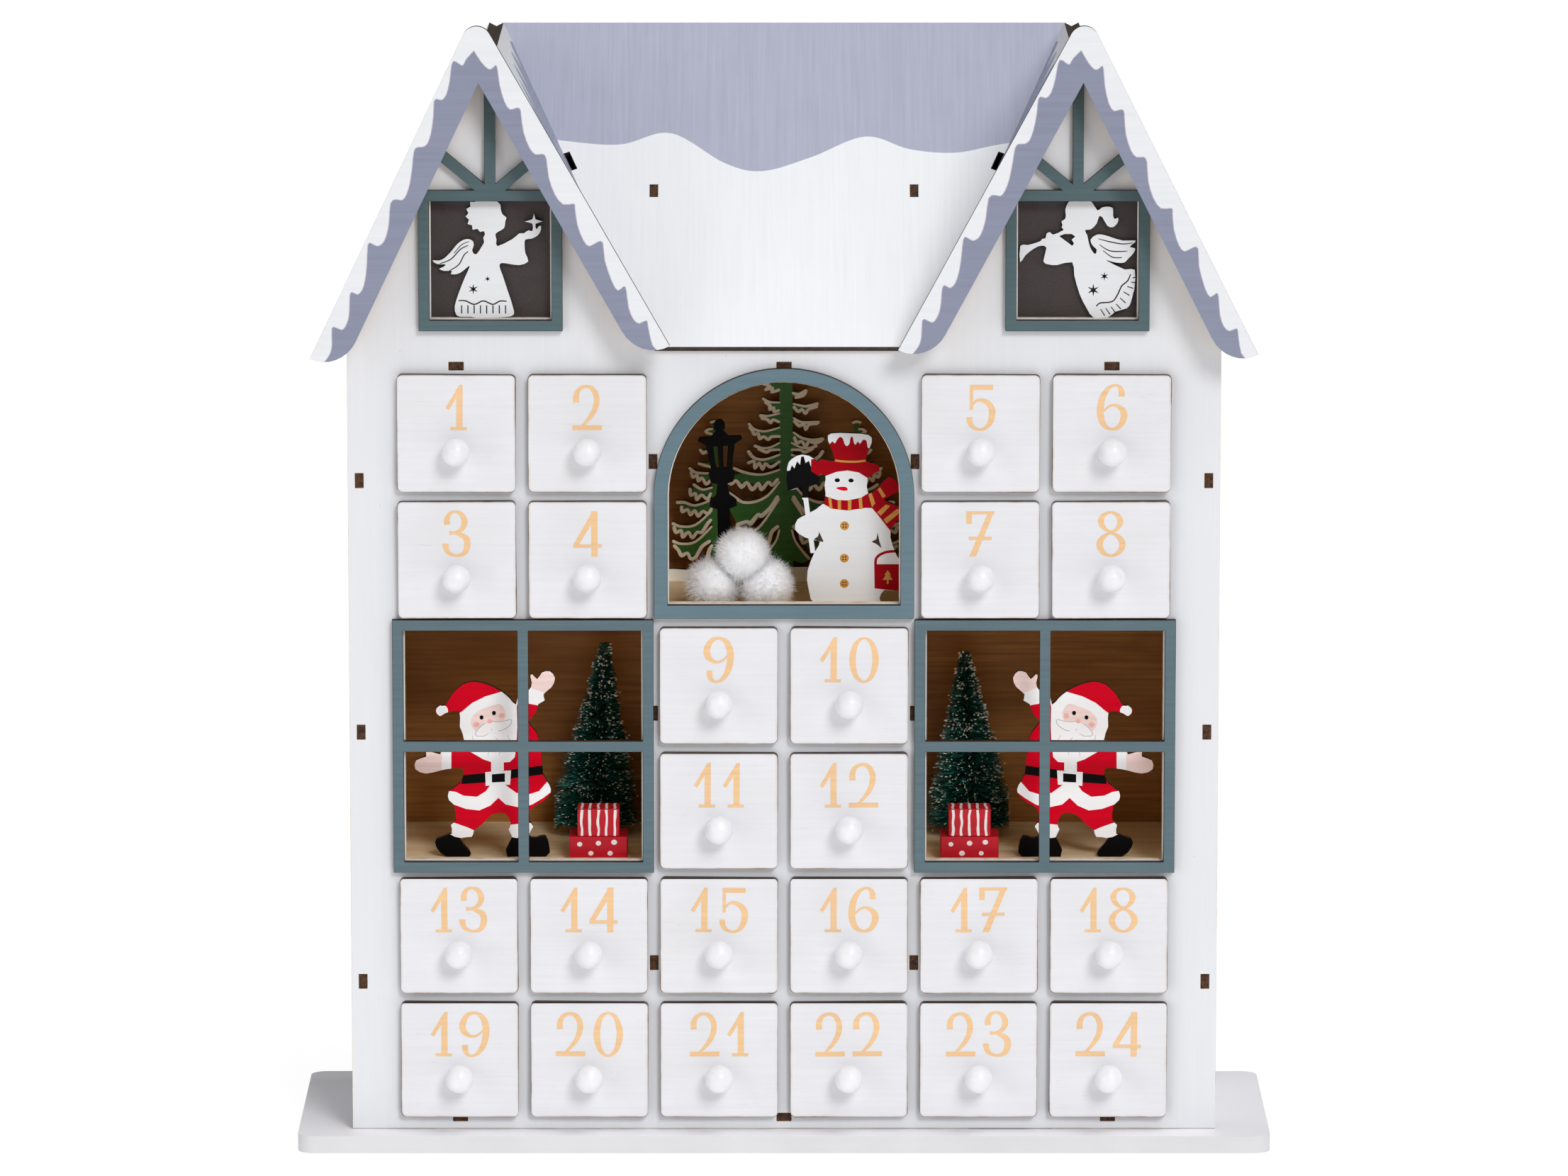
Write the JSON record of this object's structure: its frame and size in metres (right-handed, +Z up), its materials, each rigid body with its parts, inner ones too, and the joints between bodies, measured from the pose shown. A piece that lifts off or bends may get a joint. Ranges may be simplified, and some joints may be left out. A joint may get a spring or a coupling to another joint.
{
  "type": "wooden advent calendar house",
  "caption": "Plywood advent calendar shaped as a twin-gabled town house, with numbered pull-out drawers, framed windows showing winter scenes and a sloping roof.",
  "frame": {"origin": "centre of the base's underside", "axes": "+X to the viewer's right, +Y from the facade to the back, +Z up"},
  "size_m": [0.36, 0.113, 0.4189],
  "materials": {
    "white_ply": "cool white paint, matt, over plywood",
    "bare_ply": "bare birch or basswood plywood, laser-cut edges burnt brown",
    "roof_blue": "printed blue-grey with white snow, matt, wood grain showing",
    "gable_blue": "printed blue-grey with white snow, matt",
    "frame_teal": "teal-grey paint, matt",
    "frame_pale_teal": "pale teal-grey paint, matt",
    "dark_backing": "charcoal brown, matt, with glossy glue at the edges",
    "santa_red": "printed red, white and black, satin",
    "tree_bristle": "dark green bristles with white frost",
    "gift_red": "red paint with white stripes and dots, satin",
    "lamp_black": "printed black, satin",
    "pompom_white": "fluffy white pile",
    "forest_green": "printed green with pale snow, satin",
    "drawer_white": "cool white paint on the front and knob with a peach number, bare wood behind"
  },
  "bodies": {
    "house": {"base": "white_ply", "facade": "white_ply", "back_panel": "bare_ply", "side_wall_left": "white_ply", "side_wall_right": "white_ply", "inner_walls": "bare_ply", "partition_left": "bare_ply", "partition_right": "bare_ply", "bottom_shelf": "bare_ply", "long_shelves": "bare_ply", "short_shelves": "bare_ply", "short_dividers": "bare_ply", "attic_floor": "bare_ply", "roof_front": "roof_blue", "gable_roof_left_outer": "gable_blue", "gable_roof_left_inner": "gable_blue", "gable_roof_right_inner": "gable_blue", "gable_roof_right_outer": "gable_blue", "bargeboard_left": "gable_blue", "bargeboard_right": "gable_blue", "window_frame_left": "frame_teal", "window_frame_right": "frame_teal", "arch_frame": "frame_pale_teal", "attic_frames": "frame_teal", "attic_backings": "dark_backing", "angel_left": "white_ply", "angel_right": "white_ply", "santa_left": "santa_red", "santa_right": "santa_red", "brush_tree_left": "tree_bristle", "brush_tree_right": "tree_bristle", "gifts": "gift_red", "snowman": "white_ply", "lamp_post": "lamp_black", "snowballs": "pompom_white", "forest": "forest_green"},
    "drawer_body_01": {"drawer_01": "drawer_white"},
    "drawer_body_02": {"drawer_02": "drawer_white"},
    "drawer_body_03": {"drawer_03": "drawer_white"},
    "drawer_body_04": {"drawer_04": "drawer_white"},
    "drawer_body_05": {"drawer_05": "drawer_white"},
    "drawer_body_06": {"drawer_06": "drawer_white"},
    "drawer_body_07": {"drawer_07": "drawer_white"},
    "drawer_body_08": {"drawer_08": "drawer_white"},
    "drawer_body_09": {"drawer_09": "drawer_white"},
    "drawer_body_10": {"drawer_10": "drawer_white"},
    "drawer_body_11": {"drawer_11": "drawer_white"},
    "drawer_body_12": {"drawer_12": "drawer_white"},
    "drawer_body_13": {"drawer_13": "drawer_white"},
    "drawer_body_14": {"drawer_14": "drawer_white"},
    "drawer_body_15": {"drawer_15": "drawer_white"},
    "drawer_body_16": {"drawer_16": "drawer_white"},
    "drawer_body_17": {"drawer_17": "drawer_white"},
    "drawer_body_18": {"drawer_18": "drawer_white"},
    "drawer_body_19": {"drawer_19": "drawer_white"},
    "drawer_body_20": {"drawer_20": "drawer_white"},
    "drawer_body_21": {"drawer_21": "drawer_white"},
    "drawer_body_22": {"drawer_22": "drawer_white"},
    "drawer_body_23": {"drawer_23": "drawer_white"},
    "drawer_body_24": {"drawer_24": "drawer_white"}
  },
  "joints": [
    {"name": "drawer_slide_01", "type": "slide", "parent": "house", "child": "drawer_body_01", "axis": [0, -1, 0], "range_m": [0, 0.065]},
    {"name": "drawer_slide_02", "type": "slide", "parent": "house", "child": "drawer_body_02", "axis": [0, -1, 0], "range_m": [0, 0.065]},
    {"name": "drawer_slide_03", "type": "slide", "parent": "house", "child": "drawer_body_03", "axis": [0, -1, 0], "range_m": [0, 0.065]},
    {"name": "drawer_slide_04", "type": "slide", "parent": "house", "child": "drawer_body_04", "axis": [0, -1, 0], "range_m": [0, 0.065]},
    {"name": "drawer_slide_05", "type": "slide", "parent": "house", "child": "drawer_body_05", "axis": [0, -1, 0], "range_m": [0, 0.065]},
    {"name": "drawer_slide_06", "type": "slide", "parent": "house", "child": "drawer_body_06", "axis": [0, -1, 0], "range_m": [0, 0.065]},
    {"name": "drawer_slide_07", "type": "slide", "parent": "house", "child": "drawer_body_07", "axis": [0, -1, 0], "range_m": [0, 0.065]},
    {"name": "drawer_slide_08", "type": "slide", "parent": "house", "child": "drawer_body_08", "axis": [0, -1, 0], "range_m": [0, 0.065]},
    {"name": "drawer_slide_09", "type": "slide", "parent": "house", "child": "drawer_body_09", "axis": [0, -1, 0], "range_m": [0, 0.065]},
    {"name": "drawer_slide_10", "type": "slide", "parent": "house", "child": "drawer_body_10", "axis": [0, -1, 0], "range_m": [0, 0.065]},
    {"name": "drawer_slide_11", "type": "slide", "parent": "house", "child": "drawer_body_11", "axis": [0, -1, 0], "range_m": [0, 0.065]},
    {"name": "drawer_slide_12", "type": "slide", "parent": "house", "child": "drawer_body_12", "axis": [0, -1, 0], "range_m": [0, 0.065]},
    {"name": "drawer_slide_13", "type": "slide", "parent": "house", "child": "drawer_body_13", "axis": [0, -1, 0], "range_m": [0, 0.065]},
    {"name": "drawer_slide_14", "type": "slide", "parent": "house", "child": "drawer_body_14", "axis": [0, -1, 0], "range_m": [0, 0.065]},
    {"name": "drawer_slide_15", "type": "slide", "parent": "house", "child": "drawer_body_15", "axis": [0, -1, 0], "range_m": [0, 0.065]},
    {"name": "drawer_slide_16", "type": "slide", "parent": "house", "child": "drawer_body_16", "axis": [0, -1, 0], "range_m": [0, 0.065]},
    {"name": "drawer_slide_17", "type": "slide", "parent": "house", "child": "drawer_body_17", "axis": [0, -1, 0], "range_m": [0, 0.065]},
    {"name": "drawer_slide_18", "type": "slide", "parent": "house", "child": "drawer_body_18", "axis": [0, -1, 0], "range_m": [0, 0.065]},
    {"name": "drawer_slide_19", "type": "slide", "parent": "house", "child": "drawer_body_19", "axis": [0, -1, 0], "range_m": [0, 0.065]},
    {"name": "drawer_slide_20", "type": "slide", "parent": "house", "child": "drawer_body_20", "axis": [0, -1, 0], "range_m": [0, 0.065]},
    {"name": "drawer_slide_21", "type": "slide", "parent": "house", "child": "drawer_body_21", "axis": [0, -1, 0], "range_m": [0, 0.065]},
    {"name": "drawer_slide_22", "type": "slide", "parent": "house", "child": "drawer_body_22", "axis": [0, -1, 0], "range_m": [0, 0.065]},
    {"name": "drawer_slide_23", "type": "slide", "parent": "house", "child": "drawer_body_23", "axis": [0, -1, 0], "range_m": [0, 0.065]},
    {"name": "drawer_slide_24", "type": "slide", "parent": "house", "child": "drawer_body_24", "axis": [0, -1, 0], "range_m": [0, 0.065]}
  ]
}
